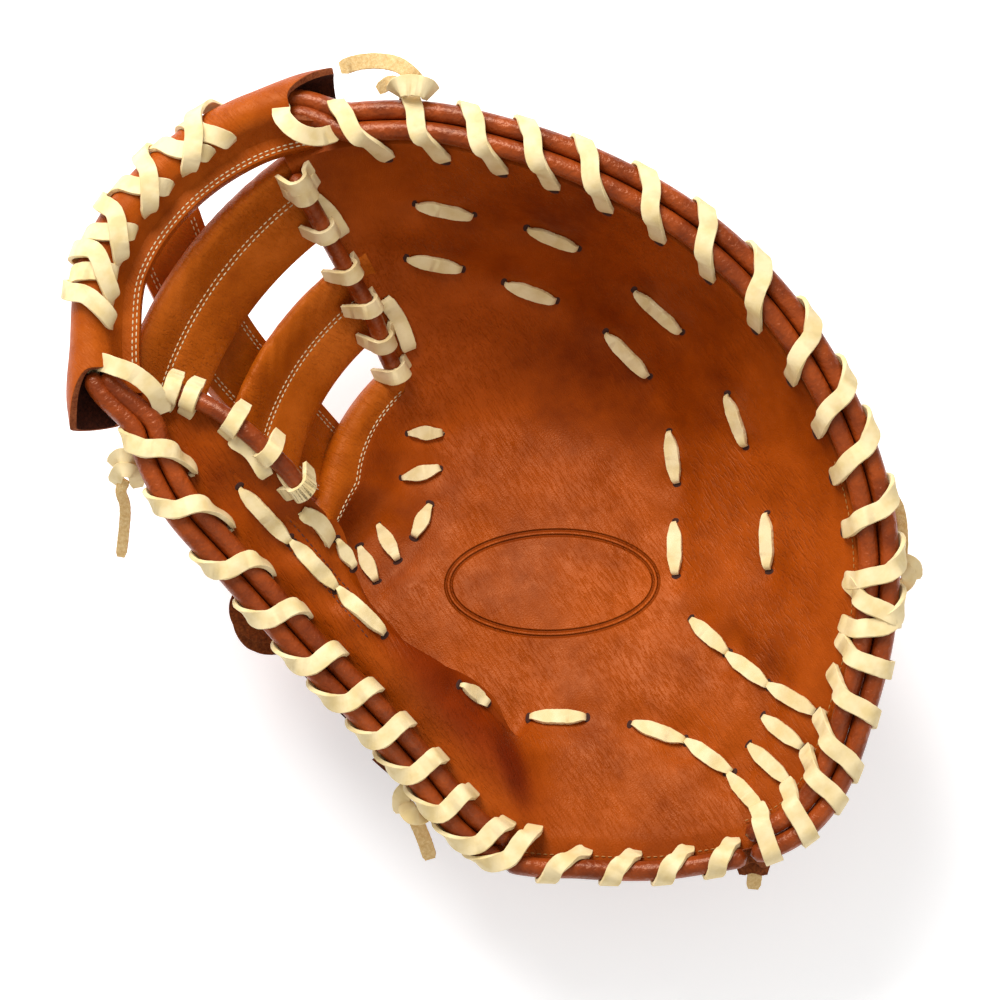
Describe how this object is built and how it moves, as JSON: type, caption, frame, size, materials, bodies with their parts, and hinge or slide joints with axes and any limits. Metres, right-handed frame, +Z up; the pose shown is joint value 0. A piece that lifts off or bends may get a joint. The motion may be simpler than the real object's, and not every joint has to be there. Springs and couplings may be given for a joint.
{
  "type": "first baseman mitt",
  "caption": "First baseman mitt for the left hand: scooped leather palm, welted rim, rolled web band with strips, open hand space and a wrist strap.",
  "frame": {"origin": "middle of the mitt's outline, on the surface that it rests on", "axes": "+Z up out of the pocket, +Y from the heel to the web, +X to the little finger's side"},
  "size_m": [0.226, 0.3152, 0.1194],
  "materials": {
    "palm_leather": "saddle tan, fine grain, satin",
    "web_leather": "lighter saddle tan, creased, satin",
    "welt_leather": "dark reddish brown, glossy",
    "strap_leather": "dark brown, dull",
    "lace_rawhide": "cream rawhide lace, smooth face, rough edge",
    "web_thread": "off-white waxed thread",
    "heel_thread": "tan waxed thread"
  },
  "bodies": {
    "root": {"palm": "palm_leather", "finger_back": "palm_leather", "thumb_back": "palm_leather", "finger_roll_outer": "welt_leather", "finger_roll_inner": "welt_leather", "heel_roll": "welt_leather", "thumb_roll_outer": "welt_leather", "thumb_roll_inner": "welt_leather", "finger_edge_welt": "welt_leather", "thumb_edge_welt": "welt_leather", "web_outer_loop": "web_leather", "web_inner_loop": "web_leather", "web_panel": "web_leather", "web_top_band": "web_leather", "web_spine": "web_leather", "wrist_strap": "strap_leather", "strap_keeper": "strap_leather", "pull_loop": "strap_leather"}
  },
  "joints": []
}
